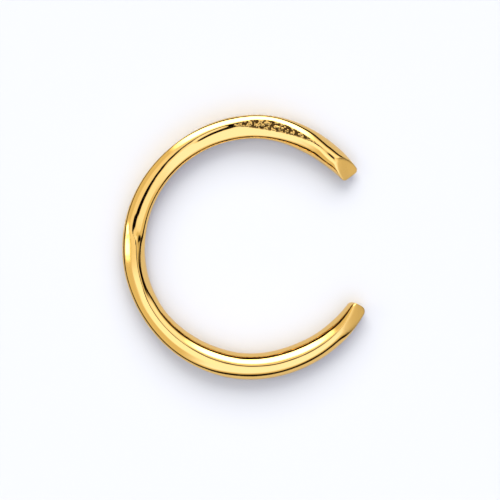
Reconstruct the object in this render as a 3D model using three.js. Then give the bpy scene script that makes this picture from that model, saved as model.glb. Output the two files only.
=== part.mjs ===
// A plain ear cuff: one length of polished yellow gold wire bent to an open C. Its rounded top rises to
// a crest that strays from side to side along the wire. Both ends are filed on the slant, and a
// shallow lens-shaped flat is pressed into the top near the upper end.
// It lies on its side: the axis of the C is upright, the opening faces +X, and the origin is under
// the middle of the whole piece. Millimetres and degrees throughout, +Z up.

import * as THREE from 'three';

// The wire
const WIRE_HEIGHT = 1.16;      // along the axis of the C
const MIDDLE_RADIUS = 5.5;     // of the C, which turns a length along the wire into an angle

// How the wire is bent: angle counter-clockwise from +X, the radii of its inner side, its outer side
// and its crest, how far the crest lies below the full height, and for the inner and outer half of the
// section how far it crowns above its straight side and the power of that curve: 2 is an ellipse and
// less is a soft ridge
const COLUMNS = ['angle', 'inner', 'outer', 'crest', 'drop',
  'innerCrown', 'outerCrown', 'innerPower', 'outerPower'];
const BENDS = [
  [36.5, 5.10, 5.93, 5.450, 0.03, 0.50, 0.50, 2.00, 1.80],
  [46.0, 4.99, 5.98, 5.510, 0.05, 0.52, 0.56, 2.20, 1.60],
  [51.0, 4.95, 5.99, 5.520, 0.05, 0.54, 0.58, 2.40, 1.50],
  [57.0, 4.94, 6.01, 5.530, 0.02, 0.53, 0.54, 1.90, 1.55],
  [65.0, 4.93, 6.04, 5.545, 0.01, 0.48, 0.42, 1.80, 1.80],
  [83.0, 4.99, 6.09, 5.600, 0.02, 0.34, 0.22, 2.00, 2.00],
  [102.0, 5.01, 6.055, 5.720, 0.03, 0.32, 0.20, 1.60, 1.50],
  [116.0, 5.01, 6.01, 5.675, 0.03, 0.32, 0.17, 1.65, 1.50],
  [130.0, 5.01, 5.98, 5.624, 0.03, 0.32, 0.14, 1.70, 1.70],
  [145.0, 5.01, 6.00, 5.574, 0.03, 0.33, 0.17, 2.00, 1.90],
  [160.0, 5.01, 6.03, 5.590, 0.03, 0.36, 0.21, 2.20, 2.00],
  [169.5, 5.01, 6.04, 5.642, 0.03, 0.38, 0.23, 2.20, 2.00],
  [173.0, 5.01, 6.04, 5.590, 0.02, 0.38, 0.25, 1.80, 1.80],
  [177.0, 5.015, 6.04, 5.410, 0.00, 0.38, 0.28, 1.50, 1.70],
  [183.0, 5.02, 6.04, 5.380, 0.00, 0.46, 0.28, 1.50, 1.70],
  [190.0, 5.02, 6.04, 5.380, 0.00, 0.55, 0.28, 1.50, 1.70],
  [200.0, 5.02, 6.025, 5.390, 0.00, 0.55, 0.28, 1.50, 1.70],
  [207.0, 5.01, 6.02, 5.440, 0.00, 0.50, 0.27, 1.70, 1.70],
  [215.0, 5.00, 6.02, 5.440, 0.00, 0.50, 0.28, 1.70, 1.70],
  [235.0, 4.90, 6.04, 5.418, 0.00, 0.56, 0.30, 1.70, 1.70],
  [250.0, 4.85, 6.05, 5.410, 0.00, 0.57, 0.38, 1.75, 1.75],
  [262.0, 4.84, 6.05, 5.404, 0.00, 0.58, 0.50, 1.75, 1.75],
  [290.0, 4.77, 5.95, 5.380, 0.00, 0.58, 0.50, 1.75, 1.75],
  [310.0, 4.84, 5.905, 5.390, 0.00, 0.58, 0.50, 1.65, 1.75],
  [317.0, 4.88, 5.885, 5.395, 0.00, 0.58, 0.34, 1.50, 1.35],
  [331.5, 4.99, 5.84, 5.414, 0.00, 0.56, 0.30, 1.80, 1.35],
].map((row) => Object.fromEntries(row.map((value, index) => [COLUMNS[index], value])));

// The two ends: length from the end to where its slant cut starts on the crest, slope of the cut from
// level, how far it is turned outwards from the run of the wire, and radius of the corners of the end
// seen from above
const UPPER_END = { cutLength: 1.08, cutSlope: 31, cutLean: 25, cornerRadius: 0.17 };
const LOWER_END = { cutLength: 1.10, cutSlope: 31, cutLean: 74, cornerRadius: 0.26 };
const EDGE_RADIUS = 0.10;      // of the lower edge of both ends
const LEAST_WALL = 0.05;       // height of the side wall where it is lowest

// The pressed flat near the upper end
const FLAT_MIDDLE = 82;        // angle of its deepest place
const FLAT_REACH = 32;         // angle from there to each pointed end
const FLAT_DEPTH = 0.025;
const FLAT_LEAN = 2;           // it faces up and this much outwards

// How finely the surface is cut
const CROWN_STEPS = 9;         // an odd number, so the wire has a level facet along its crest
const CREST_SHARE = Math.sin(Math.PI / CROWN_STEPS / 2);  // of each half that this facet takes up
const END_ROUND = 0.26;        // the stretch at each end that holds its rounded corners
const ROUND_STEPS = 4;
const CUT_STEPS = 8;
const BACK_STEPS = 52;
const END_STRETCH = 1.6;       // the stretch at each end that is cut more finely

const radians = (degrees) => THREE.MathUtils.degToRad(degrees);

// A smooth curve through one named column of the bends. Each stretch is a cubic whose slope at a row
// is the slope between that row's two neighbours.
function bendAt(angle, column) {
  const last = BENDS.length - 1;
  let row = 0;
  while (row < last - 1 && angle > BENDS[row + 1].angle) row += 1;
  const slopeAt = (index) => {
    const before = BENDS[Math.max(index - 1, 0)];
    const after = BENDS[Math.min(index + 1, last)];
    return (after[column] - before[column]) / (after.angle - before.angle);
  };
  const from = BENDS[row];
  const to = BENDS[row + 1];
  const span = to.angle - from.angle;
  const t = (angle - from.angle) / span;
  const rise = t * t * (3 - 2 * t);
  const leave = t * (1 - t) * (1 - t) * span * slopeAt(row);
  const arrive = t * t * (t - 1) * span * slopeAt(row + 1);
  return from[column] * (1 - rise) + to[column] * rise + leave + arrive;
}

// How far a quarter circle has drawn the surface in, at a length from the end
function quarterRound(length, radius) {
  const into = Math.max(radius - length, 0);
  return radius - Math.sqrt(radius ** 2 - into ** 2);
}

// One half of a section, inner or outer: how wide it is, how high its straight side stands, and the
// height of its crown above that at a share of the width. The crown is made a little taller than its
// row says, so that it is its full height at the edge of the level facet.
function half(angle, name, width, reach) {
  const crown = Math.min(bendAt(angle, `${name}Crown`), reach - LEAST_WALL / 2);
  const power = bendAt(angle, `${name}Power`);
  const rounded = (share) => (1 - share ** power) ** (1 / power);
  const rise = crown / rounded(CREST_SHARE);
  return { width, wall: reach - crown, crownAt: (share) => rise * rounded(share) };
}

// Presses the flat into the points of a section: a plane that takes back what stands proud of it. Its
// depth fades to nothing at both ends, which gives the flat its lens shape.
function pressFlat(points, angle) {
  const facingOut = Math.sin(radians(FLAT_LEAN));
  const facingUp = Math.cos(radians(FLAT_LEAN));
  const t = Math.min(Math.abs(angle - FLAT_MIDDLE) / FLAT_REACH, 1);
  const heightOf = (point) => point.radius * facingOut + point.up * facingUp;
  const level = Math.max(...points.map(heightOf)) - FLAT_DEPTH * (1 - t * t) ** 2;
  return points.map((point) => {
    const proud = Math.max(heightOf(point) - level, 0);
    return { radius: point.radius - proud * facingOut, up: point.up - proud * facingUp };
  });
}

// One closed section across the wire: a crown on top and one underneath, joined by straight sides.
// Each point is a radius from the axis of the C and a height above mid-height.
function section(angle, endLength, end) {
  const inner = bendAt(angle, 'inner');
  const outer = bendAt(angle, 'outer');
  const crest = bendAt(angle, 'crest');
  const drop = Math.max(bendAt(angle, 'drop'), 0);
  const edge = quarterRound(endLength, EDGE_RADIUS);
  const reach = (WIRE_HEIGHT - drop - edge) / 2;
  const kept = 1 - (2 * quarterRound(endLength, end.cornerRadius)) / (outer - inner);
  const innerHalf = half(angle, 'inner', (crest - inner) * kept, reach);
  const outerHalf = half(angle, 'outer', (outer - crest) * kept, reach);

  const points = [];
  for (const side of [1, -1]) {
    for (let step = 0; step <= CROWN_STEPS; step += 1) {
      const across = side * Math.cos((Math.PI * step) / CROWN_STEPS);
      const { width, wall, crownAt } = across > 0 ? outerHalf : innerHalf;
      const out = width * across;
      const along = Math.cos(radians(end.cutLean)) * (end.cutLength - endLength);
      const beyond = along + Math.sin(radians(end.cutLean)) * out;
      const ceiling = WIRE_HEIGHT / 2 - Math.tan(radians(end.cutSlope)) * beyond;
      const top = side > 0 ? ceiling : ceiling - LEAST_WALL;
      const up = (edge - drop) / 2 + side * (wall + crownAt(Math.abs(across)));
      points.push({ radius: crest + out, up: Math.min(up, top) });
    }
  }
  return pressFlat(points, angle).map(({ radius, up }) => new THREE.Vector3(
    radius * Math.cos(radians(angle)),
    radius * Math.sin(radians(angle)),
    up,
  ));
}

// Lengths from an end at which the wire is cut across, starting on the end itself
function endLengths() {
  const lengths = [];
  for (let step = 0; step < ROUND_STEPS; step += 1) {
    lengths.push(END_ROUND * (1 - Math.cos((Math.PI / 2) * (step / ROUND_STEPS))));
  }
  for (let step = 0; step < CUT_STEPS; step += 1) {
    lengths.push(END_ROUND + ((END_STRETCH - END_ROUND) * step) / CUT_STEPS);
  }
  return lengths;
}

// Every section in order, from the upper end round the back to the lower end
function sections() {
  const toAngle = (length) => THREE.MathUtils.radToDeg(length / MIDDLE_RADIUS);
  const first = BENDS[0].angle;
  const last = BENDS[BENDS.length - 1].angle;
  const upper = endLengths().map((length) => section(first + toAngle(length), length, UPPER_END));
  const lower = endLengths().map((length) => section(last - toAngle(length), length, LOWER_END));
  const backFrom = first + toAngle(END_STRETCH);
  const backTo = last - toAngle(END_STRETCH);
  const back = [];
  for (let step = 0; step <= BACK_STEPS; step += 1) {
    const angle = backFrom + ((backTo - backFrom) * step) / BACK_STEPS;
    const end = angle - first < last - angle ? UPPER_END : LOWER_END;
    const nearest = Math.min(angle - first, last - angle);
    back.push(section(angle, radians(nearest) * MIDDLE_RADIUS, end));
  }
  return [...upper, ...back, ...lower.reverse()];
}

// The skin: triangles between each section and the next, and a fan over each end
function wireGeometry() {
  const rings = sections();
  const around = rings[0].length;
  const positions = rings.flat().flatMap((point) => [point.x, point.y, point.z]);
  const faces = [];
  for (let ring = 0; ring < rings.length - 1; ring += 1) {
    for (let side = 0; side < around; side += 1) {
      const a = ring * around + side;
      const b = ring * around + ((side + 1) % around);
      faces.push(a, a + around, b, b, a + around, b + around);
    }
  }
  const lastRing = (rings.length - 1) * around;
  for (let side = 1; side < around - 1; side += 1) {
    faces.push(0, side, side + 1);
    faces.push(lastRing, lastRing + side + 1, lastRing + side);
  }
  const geometry = new THREE.BufferGeometry();
  geometry.setAttribute('position', new THREE.Float32BufferAttribute(positions, 3));
  geometry.setIndex(faces);
  geometry.computeVertexNormals();
  return geometry;
}

// Polished yellow gold: a full metal, nearly mirror smooth
function goldMaterial() {
  return new THREE.MeshStandardMaterial({ color: 0xe2b86e, roughness: 0.12, metalness: 1 });
}

const cuffWire = new THREE.Mesh(wireGeometry(), goldMaterial());
cuffWire.name = 'cuff_wire';

// The origin goes to the middle of the underside of the whole piece
const bounds = new THREE.Box3().setFromObject(cuffWire);
const middle = bounds.getCenter(new THREE.Vector3());
cuffWire.position.set(-middle.x, -middle.y, -bounds.min.z);

const cuff = new THREE.Group();
cuff.add(cuffWire);

export default cuff;
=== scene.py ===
"""The looks of a plain gold ear cuff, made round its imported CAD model.

One length of polished wire stands in for the CAD solid, on the same bends and the same slant-cut
ends, with the grain of its pressed flat, its fine creases and its hand-bent waves as real geometry.
The stage is a pale floor under a soft studio, seen from straight above. Metres throughout in
Blender, and millimetres in the tables and formulas of the wire.
"""

import math
from typing import NamedTuple

import bpy
import numpy as np
from bpy.props import FloatProperty, FloatVectorProperty, PointerProperty
from bpy.types import Operator, Panel, PropertyGroup
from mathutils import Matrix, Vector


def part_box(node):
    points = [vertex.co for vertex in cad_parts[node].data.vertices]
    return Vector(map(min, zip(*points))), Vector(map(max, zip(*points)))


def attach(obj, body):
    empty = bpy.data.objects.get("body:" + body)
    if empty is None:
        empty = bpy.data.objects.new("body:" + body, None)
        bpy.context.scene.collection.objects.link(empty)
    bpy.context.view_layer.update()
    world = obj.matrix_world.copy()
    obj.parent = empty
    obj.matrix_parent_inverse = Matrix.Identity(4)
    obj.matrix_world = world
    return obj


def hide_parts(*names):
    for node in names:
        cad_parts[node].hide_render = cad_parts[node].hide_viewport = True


bl_info = {
    "name": "Gold ear cuff",
    "version": (1, 0, 0),
    "blender": (4, 5, 0),
    "location": "3D View > Sidebar > Ear cuff",
    "description": "Makes a polished gold ear cuff and the small studio that it lies in",
    "category": "Object",
}

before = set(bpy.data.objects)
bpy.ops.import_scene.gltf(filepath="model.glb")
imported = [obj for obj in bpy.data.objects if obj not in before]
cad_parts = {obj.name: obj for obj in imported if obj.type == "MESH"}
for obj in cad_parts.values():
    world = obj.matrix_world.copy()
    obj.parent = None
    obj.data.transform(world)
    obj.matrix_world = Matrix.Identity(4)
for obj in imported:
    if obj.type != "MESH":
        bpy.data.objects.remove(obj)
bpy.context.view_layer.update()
WIRE_NODE = "cuff_wire"
WIRE_LOW, WIRE_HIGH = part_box(WIRE_NODE)
MM = 0.001

# How the wire is bent, in degrees and millimetres: angle counter-clockwise from +X, radii of the
# inner side, the outer side and the crest, how far the crest lies below the wire's full height, and
# for the inner and outer half of the section how far it crowns above its straight side and the power
# of that curve: 2 is an ellipse and less is a soft ridge
BENDS = np.array(
    [
        (36.5, 5.10, 5.93, 5.450, 0.03, 0.50, 0.50, 2.00, 1.80),
        (46.0, 4.99, 5.98, 5.510, 0.05, 0.52, 0.56, 2.20, 1.60),
        (51.0, 4.95, 5.99, 5.520, 0.05, 0.54, 0.58, 2.40, 1.50),
        (57.0, 4.94, 6.01, 5.530, 0.02, 0.53, 0.54, 1.90, 1.55),
        (65.0, 4.93, 6.04, 5.545, 0.01, 0.48, 0.42, 1.80, 1.80),
        (83.0, 4.99, 6.09, 5.600, 0.02, 0.34, 0.22, 2.00, 2.00),
        (102.0, 5.01, 6.055, 5.720, 0.03, 0.32, 0.20, 1.60, 1.50),
        (116.0, 5.01, 6.01, 5.675, 0.03, 0.32, 0.17, 1.65, 1.50),
        (130.0, 5.01, 5.98, 5.624, 0.03, 0.32, 0.14, 1.70, 1.70),
        (145.0, 5.01, 6.00, 5.574, 0.03, 0.33, 0.17, 2.00, 1.90),
        (160.0, 5.01, 6.03, 5.590, 0.03, 0.36, 0.21, 2.20, 2.00),
        (169.5, 5.01, 6.04, 5.642, 0.03, 0.38, 0.23, 2.20, 2.00),
        (173.0, 5.01, 6.04, 5.590, 0.02, 0.38, 0.25, 1.80, 1.80),
        (177.0, 5.015, 6.04, 5.410, 0.00, 0.38, 0.28, 1.50, 1.70),
        (183.0, 5.02, 6.04, 5.380, 0.00, 0.46, 0.28, 1.50, 1.70),
        (190.0, 5.02, 6.04, 5.380, 0.00, 0.55, 0.28, 1.50, 1.70),
        (200.0, 5.02, 6.025, 5.390, 0.00, 0.55, 0.28, 1.50, 1.70),
        (207.0, 5.01, 6.02, 5.440, 0.00, 0.50, 0.27, 1.70, 1.70),
        (215.0, 5.00, 6.02, 5.440, 0.00, 0.50, 0.28, 1.70, 1.70),
        (235.0, 4.90, 6.04, 5.418, 0.00, 0.56, 0.30, 1.70, 1.70),
        (250.0, 4.85, 6.05, 5.410, 0.00, 0.57, 0.38, 1.75, 1.75),
        (262.0, 4.84, 6.05, 5.404, 0.00, 0.58, 0.50, 1.75, 1.75),
        (290.0, 4.77, 5.95, 5.380, 0.00, 0.58, 0.50, 1.75, 1.75),
        (310.0, 4.84, 5.905, 5.390, 0.00, 0.58, 0.50, 1.65, 1.75),
        (317.0, 4.88, 5.885, 5.395, 0.00, 0.58, 0.34, 1.50, 1.35),
        (331.5, 4.99, 5.84, 5.414, 0.00, 0.56, 0.30, 1.80, 1.35),
    ],
    dtype=[(name, float) for name in ("angle", "inner", "outer", "crest", "drop",
                                      "inner_crown", "outer_crown", "inner_power", "outer_power")],
)
MIDDLE_RADIUS = 5.5       # turns a length along the wire into an angle
FLAT_MIDDLE = 82.0        # angle of the deepest place of the pressed flat
FLAT_REACH = 24.5         # angle from there to each of its pointed ends
FLAT_EDGE = 0.003         # softness of its edge at the deepest place, in millimetres
GRAIN_MIDDLE = 78.5       # angle of the middle of the grain that the press left in the flat
GRAIN_REACH = 23.0        # angle from there to where the grain has faded out at each end
GRAIN_GAIN = 1.4          # over 1, so the grain is at its full depth for some way round its middle
GRAIN_SEED = 7
COARSE_PIT = 0.088        # across each pit of its two sizes, in millimetres
FINE_PIT = 0.040
MEAN_PIT = 0.48           # halfway between land and pit, as a share of the grain's depth
COARSE_SHARE = 0.75       # how far each size of pit goes up and down from there
FINE_SHARE = 0.45
DEEPEST_PIT = 1.2         # the share at which pits are cut off
NOISE_START = 40          # whole steps from the noise's corner, so that none is counted below zero
NOISE_STEPS = 512         # after which it repeats
SATIN = 0.30              # roughness of the slant cuts
FILE_SLIP = 0.05          # how far below the plane of a cut the file has still dulled the metal
# Dark colour painted into the deepest pits of the pressed flat, as painted shade
PIT_SHADE_COLOUR = "#2c1600"
WAVES = ((4.3, 0.4), (2.6, 2.1), (1.5, 4.4))    # length in millimetres and start in radians

# Fine creases along the top: angle and radius where each starts and ends, its width and its depth
CREASES = (
    (97.5, 5.620, 121.0, 5.480, 0.100, 0.021),
    (203.0, 5.530, 238.0, 5.475, 0.070, 0.009),
)
CREASE_GAIN = 6           # how steeply a crease fades in: at 6 over a fifth of its length

# How finely the wire is cut, in cells along it and round it, and in millimetres
ALONG_CELLS = 850
CROWN_CELLS = 72
WALL_CELLS = 6
UNDER_CELLS = 20
FINE_CELL = 0.018
PLAIN_CELL = 0.044
FINE_END = 1.6            # the stretch at each end that is cut as finely as the grain
LENGTH_SAMPLES = 8000     # at which the size of the cells along the wire is worked out


def linear(code):
    """The linear colour of an sRGB hex code."""
    channels = [int(code[i:i + 2], 16) / 255 for i in (1, 3, 5)]
    return [c / 12.92 if c <= 0.04045 else ((c + 0.055) / 1.055) ** 2.4 for c in channels]


def add_node(tree, kind, settings=None, links=None):
    """Adds a node. Settings go to its own properties or, by name or number, to its sockets."""
    node = tree.nodes.new(kind)
    for key, value in (settings or {}).items():
        if isinstance(key, str) and hasattr(node, key):
            setattr(node, key, value)
        else:
            node.inputs[key].default_value = value
    for key, source in (links or {}).items():
        tree.links.new(source, node.inputs[key])
    return node


class WireSettings(PropertyGroup):
    height: FloatProperty(
        name="Height", description="Height of the wire along the axis of the C",
        default=WIRE_HIGH.z - WIRE_LOW.z, min=0.0005, max=0.003, precision=5, unit="LENGTH")
    cut_lengths: FloatVectorProperty(
        name="Cut lengths", description="From the upper and lower ends to where their slant cuts start",
        size=2, default=(0.00108, 0.00110), min=0.0002, max=0.002, precision=5, unit="LENGTH")
    cut_slopes: FloatVectorProperty(
        name="Cut slopes", description="Slopes of the upper and lower slant cuts from level",
        size=2, default=(math.radians(31), math.radians(31)), min=0, max=math.radians(60),
        unit="ROTATION")
    cut_leans: FloatVectorProperty(
        name="Cut leans", description="How far each cut is turned outwards from the run of the wire",
        size=2, default=(math.radians(25), math.radians(74)), min=0, max=math.radians(85),
        unit="ROTATION")
    corner_radii: FloatVectorProperty(
        name="Corner radii", description="Radii of the corners of the two ends, seen from above",
        size=2, default=(0.00017, 0.00026), min=0.00002, max=0.0004, precision=5, unit="LENGTH")
    edge_radius: FloatProperty(
        name="Edge radius", description="Radius of the lower edge of each end",
        default=0.00010, min=0.00002, max=0.0003, precision=5, unit="LENGTH")
    cut_softness: FloatProperty(
        name="Cut softness", description="How far the edge of each cut is buffed away",
        default=0.00007, min=0, max=0.0003, precision=6, unit="LENGTH")
    flat_depth: FloatProperty(
        name="Flat depth", description="Depth of the flat pressed near the upper end",
        default=0.000021, min=0, max=0.0001, precision=6, unit="LENGTH")
    flat_lean: FloatProperty(
        name="Flat lean", description="How far the pressed flat faces outwards from straight up",
        default=math.radians(2), min=0, max=math.radians(40), subtype="ANGLE")
    grain_depth: FloatProperty(
        name="Grain depth", description="Depth of the pits in the pressed flat",
        default=0.000014, min=0, max=0.0001, precision=6, unit="LENGTH")
    wander: FloatProperty(
        name="Wander", description="How far the crest strays sideways, as bending by hand leaves it",
        default=0.000006, min=0, max=0.0001, precision=6, unit="LENGTH")
    gold: FloatVectorProperty(
        name="Gold", description="Colour of the gold", size=3, subtype="COLOR",
        default=linear("#e4ba6b"), min=0, max=1)
    polish: FloatProperty(
        name="Roughness", description="Roughness of the polished gold where nothing has marked it",
        default=0.06, min=0, max=1, subtype="FACTOR")


class StudioSettings(PropertyGroup):
    floor_size: FloatProperty(
        name="Floor", description="Width of the floor", default=1.0, min=0.1, unit="LENGTH")
    floor_colour: FloatVectorProperty(
        name="Floor colour", description="Colour of the matt floor", size=3, subtype="COLOR",
        default=linear("#c3c3c3"), min=0, max=1)
    lens: FloatProperty(
        name="Lens", description="Focal length, with the crop of the picture worked in",
        default=200, min=20, unit="CAMERA")
    picture_width: FloatProperty(
        name="Picture width", description="Width of what the picture shows, at the wire's mid-height",
        default=0.0229, min=0.005, precision=4, unit="LENGTH")


def bend_at(angles, column):
    """A smooth curve through one column of the bends.

    Each stretch is a cubic whose slope at a row is the slope between that row's two neighbours.
    """
    rows, values = BENDS["angle"], BENDS[column]
    last = len(rows) - 1
    before = np.maximum(np.arange(last + 1) - 1, 0)
    after = np.minimum(np.arange(last + 1) + 1, last)
    slopes = (values[after] - values[before]) / (rows[after] - rows[before])
    start = np.clip(np.searchsorted(rows, angles, side="right") - 1, 0, last - 1)
    span = rows[start + 1] - rows[start]
    t = (angles - rows[start]) / span
    rise = t * t * (3 - 2 * t)
    leave = t * (1 - t) ** 2 * span * slopes[start]
    arrive = t * t * (t - 1) * span * slopes[start + 1]
    return values[start] * (1 - rise) + values[start + 1] * rise + leave + arrive


def lengths_along():
    """Lengths along the wire at which it is cut across, closer together where it has more detail.

    The cells follow a density: the running total of one over the cell size, cut into equal steps.
    """
    total = math.radians(BENDS["angle"][-1] - BENDS["angle"][0]) * MIDDLE_RADIUS
    sample = np.linspace(0, total, LENGTH_SAMPLES)
    angles = BENDS["angle"][0] + np.degrees(sample / MIDDLE_RADIUS)
    near_end = np.minimum(sample, total - sample) < FINE_END
    in_grain = np.abs(angles - GRAIN_MIDDLE) < GRAIN_REACH
    density = np.where(near_end | in_grain, 1 / FINE_CELL, 1 / PLAIN_CELL)
    running = np.concatenate([[0], np.cumsum((density[1:] + density[:-1]) / 2)])
    return np.interp(np.linspace(0, running[-1], ALONG_CELLS + 1), running, sample), total


def profile():
    """The unit section: each point's share of the half thickness, and of the wall above or below.

    The cosine of a turn over the top, straight down the inner wall, back under and up the outer. It
    is then rolled round to start in the middle of the underside, where its seam is out of sight.
    """
    top = np.pi * np.arange(CROWN_CELLS) / CROWN_CELLS
    under = np.pi * (1 + np.arange(UNDER_CELLS) / UNDER_CELLS)
    drop = 1 - 2 * np.arange(WALL_CELLS) / WALL_CELLS
    still = np.zeros(WALL_CELLS)
    across = np.concatenate([np.cos(top), still - 1, np.cos(under), still + 1])
    side = np.concatenate([top * 0 + 1, drop, under * 0 - 1, -drop])
    start = CROWN_CELLS + WALL_CELLS + UNDER_CELLS // 2
    return np.roll(across, -start), np.roll(side, -start)


def soft_clip(excess, softness):
    """How far to take points back so that no excess stands proud, with a soft edge.

    Half of excess + sqrt(excess^2 + softness^2), which fades in round the edge. Also returns how
    much of each point has been taken back, from 0 to 1.
    """
    bent = np.sqrt(excess ** 2 + softness ** 2) + 1e-9
    return (excess + bent) / 2, (1 + excess / bent) / 2


def quarter_round(length, radius):
    """How far a quarter circle of a radius has drawn a side in, at a length from the end."""
    into = np.clip(radius - length, 0, radius)
    return radius - np.sqrt(radius ** 2 - into ** 2)


def value_noise(u, v, seed):
    """Smooth noise from -1 to 1, with one random value for each whole step of u and v.

    Each value is blended into the next with 3t^2 - 2t^3, first along u and then along v.
    """
    values = np.random.default_rng(seed).uniform(-1, 1, (NOISE_STEPS, NOISE_STEPS))
    u, v = np.broadcast_arrays(u, v)
    row, column = np.floor(u).astype(int), np.floor(v).astype(int)
    s, t = u - row, v - column
    s, t = s * s * (3 - 2 * s), t * t * (3 - 2 * t)
    row, column, next_row, next_column = (
        index % NOISE_STEPS for index in (row, column, row + 1, column + 1))
    start = values[row, column] * (1 - s) + values[next_row, column] * s
    finish = values[row, next_column] * (1 - s) + values[next_row, next_column] * s
    return start * (1 - t) + finish * t


def wire_surface(settings):
    """Grid points of the wire in millimetres about the axis of the C, and the marks on each.

    Each section is a crown over straight walls: out = half thickness x cosine, up = wall + crown x
    (1 - |cosine|^power)^(1 / power). The crest's drop lowers the top alone. At the ends a quarter
    circle draws the sides in and another raises the underside. Each slant cut is a plane that lowers
    what stands above it, and the file dulls the metal down to its slip below that plane. The pressed
    flat is a plane that takes points back squarely, and so do the pits of its grain. The creases lower
    the top last. Each section is then turned round the axis of the C to its own angle.
    """
    lengths, total = lengths_along()
    angles = (BENDS["angle"][0] + np.degrees(lengths / MIDDLE_RADIUS))[:, None]
    end_length = np.minimum(lengths, total - lengths)[:, None]
    end = np.where(lengths < total / 2, 0, 1)[:, None]

    across, side = profile()
    outwards = across > 0
    half_height = settings.height / MM / 2
    drop = np.maximum(bend_at(angles, "drop"), 0)
    edge = quarter_round(end_length, settings.edge_radius / MM)
    reach = half_height - drop / 2 - edge / 2
    inner, outer = bend_at(angles, "inner"), bend_at(angles, "outer")
    middle = (inner + outer) / 2
    crest = bend_at(angles, "crest") + settings.wander / MM * wandering(lengths)[:, None]
    corner = quarter_round(end_length, np.array(settings.corner_radii)[end] / MM)
    half = np.where(outwards, outer - crest, crest - inner) * (1 - 2 * corner / (outer - inner))
    out = half * across + crest - middle
    crown = np.where(outwards, bend_at(angles, "outer_crown"), bend_at(angles, "inner_crown"))
    power = np.where(outwards, bend_at(angles, "outer_power"), bend_at(angles, "inner_power"))
    crown = np.minimum(crown, reach)
    rounded = (1 - np.abs(across) ** power) ** (1 / power)
    up = (edge - drop) / 2 + (reach - crown) * side + crown * rounded * np.sign(side)

    slope, lean = np.tan(np.array(settings.cut_slopes))[end], np.array(settings.cut_leans)[end]
    beyond = np.array(settings.cut_lengths)[end] / MM - end_length
    ceiling = half_height - slope * (np.cos(lean) * beyond + np.sin(lean) * (out + middle - crest))
    sawn = np.clip(1 + (up - ceiling) / FILE_SLIP, 0, 1)
    taken, _ = soft_clip(up - ceiling, settings.cut_softness / MM)
    up = up - taken

    facing_out, facing_up = math.sin(settings.flat_lean), math.cos(settings.flat_lean)
    fade = (1 - np.minimum(np.abs(angles - FLAT_MIDDLE) / FLAT_REACH, 1) ** 2) ** 2
    height = out * facing_out + up * facing_up
    level = height.max(axis=1, keepdims=True) - settings.flat_depth / MM * fade
    taken, pressed = soft_clip(height - level, FLAT_EDGE * fade)
    pressed = pressed * (fade > 0)
    from_grain = np.abs(angles - GRAIN_MIDDLE) / GRAIN_REACH
    grain = np.clip(GRAIN_GAIN * (1 - from_grain ** 2), 0, 1) * pressed
    pits = grain * pitted(lengths[:, None], out)
    taken = taken + settings.grain_depth / MM * pits
    out, up = out - taken * facing_out, up - taken * facing_up
    for crease in CREASES:
        up = up - creased(angles, middle + out, *crease) * (side == 1)

    turn = np.radians(angles)
    points = np.stack([(middle + out) * np.cos(turn), (middle + out) * np.sin(turn), up], -1)
    return points, lengths, {"sawn": sawn, "pits": np.clip(pits, 0, 1)}


def creased(angles, radii, start, start_radius, end, end_radius, width, depth):
    """How far a crease lowers the top.

    Across it depth x u x e^-(u^2), with u the distance over the width: a narrow ledge that lies
    level on the sloping crown. It fades in and out over a fifth of its length at either end.
    """
    share = (angles - start) / (end - start)
    path = start_radius + (end_radius - start_radius) * share
    along = np.clip(CREASE_GAIN * share * (1 - share), 0, 1)
    u = (radii - path) / width
    return depth * along * u * np.exp(-u ** 2)


def wandering(lengths):
    """Three slow waves along the wire, 4.3, 2.6 and 1.5 mm long, which together stay within 1."""
    waves = [np.sin(2 * np.pi * lengths / wave + turn) for wave, turn in WAVES]
    return sum(waves) / len(waves)


def pitted(along, out):
    """Depth of the grain, from 0 to its deepest pit: pits of two sizes with raised land between."""
    coarse = value_noise(along / COARSE_PIT + NOISE_START, out / COARSE_PIT + NOISE_START, GRAIN_SEED)
    fine = value_noise(along / FINE_PIT + NOISE_START, out / FINE_PIT + NOISE_START, GRAIN_SEED + 1)
    return np.clip(MEAN_PIT + COARSE_SHARE * coarse + FINE_SHARE * fine, 0, DEEPEST_PIT)


def closed_tube(name, points, lengths, marks):
    """A mesh object of a grid of points that closes round its second direction, with fans at its ends.

    Its UV map is in millimetres along and round the surface. Each mark becomes a point attribute.
    """
    count, around = points.shape[:2]
    row = np.arange(count - 1)[:, None] * around
    here, there = np.arange(around), (np.arange(around) + 1) % around
    quads = np.stack([row + here, row + around + here, row + around + there, row + there], -1)
    last = (count - 1) * around
    caps = [(count * around, j, k) for j, k in zip(here.tolist(), there.tolist())]
    caps += [(count * around + 1, last + k, last + j) for j, k in zip(here.tolist(), there.tolist())]
    centres = points[[0, -1]].mean(axis=1)
    co = np.concatenate([points.reshape(-1, 3), centres])
    mesh = bpy.data.meshes.new(name)
    mesh.from_pydata(co.tolist(), [], quads.reshape(-1, 4).tolist() + caps)
    mesh.polygons.foreach_set("use_smooth", np.ones(len(mesh.polygons), bool))

    step = np.linalg.norm(np.roll(points, -1, axis=1) - points, axis=2) / MM
    round_mm = np.concatenate([np.zeros((count, 1)), np.cumsum(step, axis=1)], axis=1)
    along_mm = np.broadcast_to(lengths[:, None], round_mm.shape)
    uv = np.stack([along_mm, round_mm], -1)
    corner_uv = np.stack([uv[:-1, :-1], uv[1:, :-1], uv[1:, 1:], uv[:-1, 1:]], axis=2)
    cap_uv = np.zeros((len(caps) * 3, 2))
    layer = mesh.uv_layers.new(name="millimetres")
    layer.data.foreach_set("uv", np.concatenate([corner_uv.reshape(-1, 2), cap_uv]).ravel())

    for mark, values in marks.items():
        ends = values[[0, -1]].mean(axis=1)
        attribute = mesh.attributes.new(mark, "FLOAT", "POINT")
        attribute.data.foreach_set("value", np.concatenate([values.ravel(), ends]))
    mesh.update()
    piece = bpy.data.objects.new(name, mesh)
    bpy.context.scene.collection.objects.link(piece)
    return piece


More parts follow.
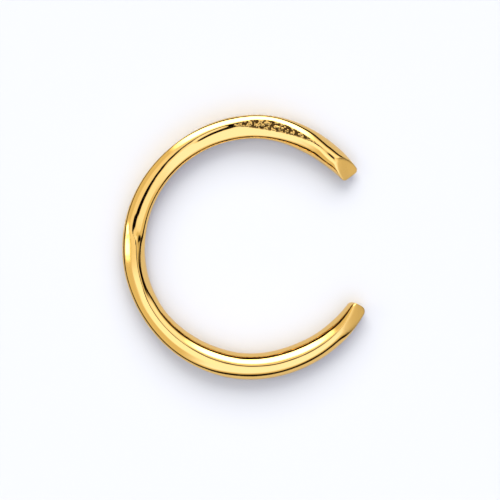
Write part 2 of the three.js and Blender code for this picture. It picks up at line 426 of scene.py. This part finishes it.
# The finish: repeats of each pattern for a millimetre along and round the wire, relief in metres,
# and the rest as shares
BUFF_LINES = (0.35, 7.0, 1)
BUFF_RELIEF = 0.0000022
FILE_MARKS = (20, 3, 1)
FILE_RELIEF = 0.000003
PATCHES = 2
PATCH_NOISE = (0.3, 0.7)        # range of the noise from the brightest patches to the dullest
PATCH_ROUGHNESS = (0.7, 1.5)    # roughness there, as a share of the polish
PIT_ROUGHNESS = 0.2             # added where a pit is deepest
PIT_SHADE_DEPTHS = (0.15, 0.50)       # depth of pit at which the painted shade starts and is at its darkest
# how far the painted shade darkens the deepest pits, as a share
PIT_SHADE_COVER = 0.95


def polished_gold(settings):
    """14 karat yellow gold wire, drawn, bent by hand and buffed to a mirror.

    The buff leaves faint lines along the wire, which fray the edges of its reflections, and patches
    that are a little less bright. The slant cuts are satin, and the deepest pits of the pressed flat
    are painted darker, as painted shade.
    """
    material = bpy.data.materials.new("buffed_yellow_gold")
    material.use_nodes = True
    tree = material.node_tree
    gold = tree.nodes["Principled BSDF"]
    gold.inputs["Metallic"].default_value = 1

    # Buffing lines are a few micrometres wide, too fine to show, so they are drawn 0.14 mm apart
    place = add_node(tree, "ShaderNodeUVMap", {"uv_map": "millimetres"}).outputs["UV"]
    drawn = add_node(tree, "ShaderNodeMapping", {"Scale": BUFF_LINES}, {"Vector": place})
    lines = add_node(tree, "ShaderNodeTexNoise",
                     {"noise_dimensions": "2D", "Scale": 1, "Detail": 2, "Roughness": 0.55},
                     {"Vector": drawn.outputs["Vector"]})
    buffed = add_node(tree, "ShaderNodeBump", {"Strength": 1, "Distance": BUFF_RELIEF},
                      {"Height": lines.outputs["Fac"]})

    # File marks run across the slant cuts, 0.05 mm apart
    across = add_node(tree, "ShaderNodeMapping", {"Scale": FILE_MARKS}, {"Vector": place})
    marks = add_node(tree, "ShaderNodeTexNoise",
                     {"noise_dimensions": "2D", "Scale": 1, "Detail": 2},
                     {"Vector": across.outputs["Vector"]})
    sawn = add_node(tree, "ShaderNodeAttribute", {"attribute_name": "sawn"}).outputs["Fac"]
    filed = add_node(tree, "ShaderNodeBump", {"Distance": FILE_RELIEF},
                     {"Strength": sawn, "Height": marks.outputs["Fac"],
                      "Normal": buffed.outputs["Normal"]})
    tree.links.new(filed.outputs["Normal"], gold.inputs["Normal"])

    # Patches of about 0.5 mm where the buff ran more or less hard
    patches = add_node(tree, "ShaderNodeTexNoise",
                       {"noise_dimensions": "2D", "Scale": PATCHES, "Detail": 3}, {"Vector": place})
    rough = add_node(tree, "ShaderNodeMapRange",
                     {"From Min": PATCH_NOISE[0], "From Max": PATCH_NOISE[1],
                      "To Min": settings.polish * PATCH_ROUGHNESS[0],
                      "To Max": settings.polish * PATCH_ROUGHNESS[1]},
                     {"Value": patches.outputs["Fac"]})
    satin = add_node(tree, "ShaderNodeMath", {"operation": "MULTIPLY_ADD", 1: SATIN - settings.polish},
                     {0: sawn, 2: rough.outputs["Result"]})
    pits = add_node(tree, "ShaderNodeAttribute", {"attribute_name": "pits"}).outputs["Fac"]
    pitted_too = add_node(tree, "ShaderNodeMath", {"operation": "MULTIPLY_ADD", 1: PIT_ROUGHNESS},
                          {0: pits, 2: satin.outputs[0]})
    tree.links.new(pitted_too.outputs[0], gold.inputs["Roughness"])

    # Painted shade darkens a pit only where it is deep
    shade_in_pits = add_node(tree, "ShaderNodeMapRange",
                     {"interpolation_type": "SMOOTHSTEP", "From Min": PIT_SHADE_DEPTHS[0],
                      "From Max": PIT_SHADE_DEPTHS[1], "To Max": PIT_SHADE_COVER}, {"Value": pits})
    colour = add_node(tree, "ShaderNodeMix",
                      {"data_type": "RGBA", 6: (*settings.gold, 1), 7: (*linear(PIT_SHADE_COLOUR), 1)},
                      {0: shade_in_pits.outputs["Result"]})
    tree.links.new(colour.outputs[2], gold.inputs["Base Color"])
    return material


class Card(NamedTuple):
    """A card of the studio, as the angles that it covers seen from the cuff, in degrees."""
    what: str
    middle: float       # azimuth of its middle, counter-clockwise from +X
    half_width: float
    low: float          # elevation of its lower edge
    high: float         # elevation of its upper edge
    side_fade: float
    edge_fade: float
    colour: str
    strength: float


ROUND = 181             # half width of a card that goes all the way round
ROOM = "#fff8e1"
CARDS = (
    Card("ceiling", 0, ROUND, 62, 95, 1, 10, "#fdfdff", 1.28),
    Card("large fill card in front", 285, 42, 28, 76, 18, 12, "#ccdaff", 2.5),
    Card("smaller card beside it", 223, 33, 56, 81, 14, 8, "#d8e2ff", 2.35),
    Card("pale wall on the right", 40, 16, 26, 66, 12, 10, "#e4e9ff", 2.0),
    Card("window behind", 92, 33, 21, 60, 14, 8, "#ffffff", 6.7),
    Card("small lamp on the left", 177, 7, 30, 54, 6, 8, "#ffffff", 5.0),
    Card("pale card in front, to the right", 337, 13, 44, 80, 20, 10, "#e4e9ff", 1.9),
    Card("black card on the right", 14, 11, 10, 43, 13, 9, "#000000", 1.0),
    Card("dark edge of the table", 0, ROUND, 1, 18, 1, 4, "#1c1008", 1.0),
    Card("black front of the camera", 0, ROUND, 83, 95, 1, 2, "#0c0603", 1.0),
)


def studio_world():
    """A world whose brightness depends on direction alone: a pale room with lit and black cards.

    Each card hides what is behind it by how much of it a direction meets: a ramp at each of its
    four edges, multiplied.
    """
    world = bpy.data.worlds.new("studio")
    world.use_nodes = True
    tree = world.node_tree
    tree.nodes.clear()
    view = add_node(tree, "ShaderNodeTexCoord").outputs["Generated"]
    axes = add_node(tree, "ShaderNodeSeparateXYZ", links={0: view}).outputs
    elevation = add_node(tree, "ShaderNodeMath", {"operation": "ARCSINE"}, {0: axes["Z"]}).outputs[0]
    azimuth = add_node(tree, "ShaderNodeMath", {"operation": "ARCTAN2"},
                       {0: axes["Y"], 1: axes["X"]}).outputs[0]
    light = add_node(tree, "ShaderNodeCombineXYZ", dict(enumerate(linear(ROOM)))).outputs[0]
    for card in CARDS:
        turned = add_node(tree, "ShaderNodeMath", {"operation": "SUBTRACT", 1: math.radians(card.middle)},
                          {0: azimuth})
        wrapped = add_node(tree, "ShaderNodeMath", {"operation": "WRAP", 1: math.pi, 2: -math.pi},
                           {0: turned.outputs[0]})
        away = add_node(tree, "ShaderNodeMath", {"operation": "ABSOLUTE"}, {0: wrapped.outputs[0]})
        cover = None
        for angle, edge, fade in (
            (away.outputs[0], card.half_width, -card.side_fade),
            (elevation, card.low, card.edge_fade),
            (elevation, card.high, -card.edge_fade),
        ):
            ramp = add_node(tree, "ShaderNodeMapRange",
                            {"interpolation_type": "SMOOTHSTEP",
                             "From Min": math.radians(edge - fade / 2),
                             "From Max": math.radians(edge + fade / 2)},
                            {"Value": angle}).outputs["Result"]
            cover = ramp if cover is None else add_node(
                tree, "ShaderNodeMath", {"operation": "MULTIPLY"}, {0: cover, 1: ramp}).outputs[0]
        shine = [channel * card.strength for channel in linear(card.colour)]
        light = add_node(tree, "ShaderNodeMix", {"data_type": "RGBA", 7: (*shine, 1)},
                         {0: cover, 6: light}).outputs[2]
    seen = add_node(tree, "ShaderNodeLightPath").outputs["Is Camera Ray"]
    backdrop = add_node(tree, "ShaderNodeBackground", {"Color": (1, 1, 1, 1)})
    cards = add_node(tree, "ShaderNodeBackground", links={"Color": light})
    both = add_node(
        tree, "ShaderNodeMixShader", links={0: seen, 1: cards.outputs[0], 2: backdrop.outputs[0]})
    add_node(tree, "ShaderNodeOutputWorld", links={"Surface": both.outputs[0]})
    return world


def floor(settings):
    """A level square of matt white acrylic."""
    half = settings.floor_size / 2
    mesh = bpy.data.meshes.new("floor")
    mesh.from_pydata([(-half, -half, 0), (half, -half, 0), (half, half, 0), (-half, half, 0)], [],
                     [(0, 1, 2, 3)])
    material = bpy.data.materials.new("matt_white_acrylic")
    material.use_nodes = True
    matt = material.node_tree.nodes["Principled BSDF"]
    matt.inputs["Base Color"].default_value = (*settings.floor_colour, 1)
    matt.inputs["Roughness"].default_value = 0.8
    matt.inputs["Specular IOR Level"].default_value = 0
    mesh.materials.append(material)
    piece = bpy.data.objects.new("floor", mesh)
    bpy.context.scene.collection.objects.link(piece)
    return piece


# Where the axis of the C stands in the picture, in pixels from its upper left corner
PICTURE_PIXELS = 500
AXIS_PIXEL = (254.5, 248.0)


def camera(settings, axis):
    """A camera straight above, at the distance where its lens takes in the picture's width."""
    lens = bpy.data.cameras.new("camera")
    lens.sensor_width = 36
    lens.lens = settings.lens
    lens.clip_start = 0.002
    lens.clip_end = 10
    pixel = settings.picture_width / PICTURE_PIXELS
    distance = settings.picture_width * settings.lens / lens.sensor_width
    eye = bpy.data.objects.new("camera", lens)
    eye.location = (
        axis[0] + (PICTURE_PIXELS / 2 - AXIS_PIXEL[0]) * pixel,
        axis[1] + (AXIS_PIXEL[1] - PICTURE_PIXELS / 2) * pixel,
        (WIRE_LOW.z + WIRE_HIGH.z) / 2 + distance,
    )
    bpy.context.scene.collection.objects.link(eye)
    return eye


def axis_of_cuff(points):
    """Where the axis of the C stands so that the wire's box is centred on the CAD solid's."""
    low, high = points.min(axis=(0, 1)) * MM, points.max(axis=(0, 1)) * MM
    return (np.array(WIRE_LOW) + np.array(WIRE_HIGH)) / 2 - (low + high) / 2


class CUFF_OT_make_wire(Operator):
    """Make the polished wire in place of the CAD solid"""
    bl_idname = "cuff.make_wire"
    bl_label = "Make the wire"

    def execute(self, context):
        settings = context.scene.cuff_wire
        points, lengths, marks = wire_surface(settings)
        points = points * MM + axis_of_cuff(points)
        wire = closed_tube("polished_wire", points, lengths, marks)
        wire.data.materials.append(polished_gold(settings))
        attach(wire, "root")
        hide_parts(WIRE_NODE)
        return {"FINISHED"}


class CUFF_OT_set_stage(Operator):
    """Set up the floor, the studio light and the camera"""
    bl_idname = "cuff.set_stage"
    bl_label = "Set the stage"

    def execute(self, context):
        settings = context.scene.cuff_studio
        floor(settings)
        context.scene.world = studio_world()
        points = wire_surface(context.scene.cuff_wire)[0]
        context.scene.camera = camera(settings, axis_of_cuff(points))
        context.scene.view_settings.view_transform = "Standard"
        return {"FINISHED"}


class CUFF_PT_panel(Panel):
    """Lists the cuff's pieces and their settings"""
    bl_idname = "CUFF_PT_panel"
    bl_label = "Ear cuff"
    bl_space_type = "VIEW_3D"
    bl_region_type = "UI"
    bl_category = "Ear cuff"

    def draw(self, context):
        for operator, settings in (
            (CUFF_OT_make_wire, context.scene.cuff_wire),
            (CUFF_OT_set_stage, context.scene.cuff_studio),
        ):
            box = self.layout.box()
            box.operator(operator.bl_idname)
            for name in settings.__annotations__:
                box.prop(settings, name)


CLASSES = (WireSettings, StudioSettings, CUFF_OT_make_wire, CUFF_OT_set_stage, CUFF_PT_panel)


def register():
    for cls in CLASSES:
        bpy.utils.register_class(cls)
    bpy.types.Scene.cuff_wire = PointerProperty(type=WireSettings)
    bpy.types.Scene.cuff_studio = PointerProperty(type=StudioSettings)


def unregister():
    del bpy.types.Scene.cuff_studio
    del bpy.types.Scene.cuff_wire
    for cls in reversed(CLASSES):
        bpy.utils.unregister_class(cls)


def main():
    register()
    bpy.ops.cuff.make_wire()
    bpy.ops.cuff.set_stage()


if __name__ == "__main__":
    main()
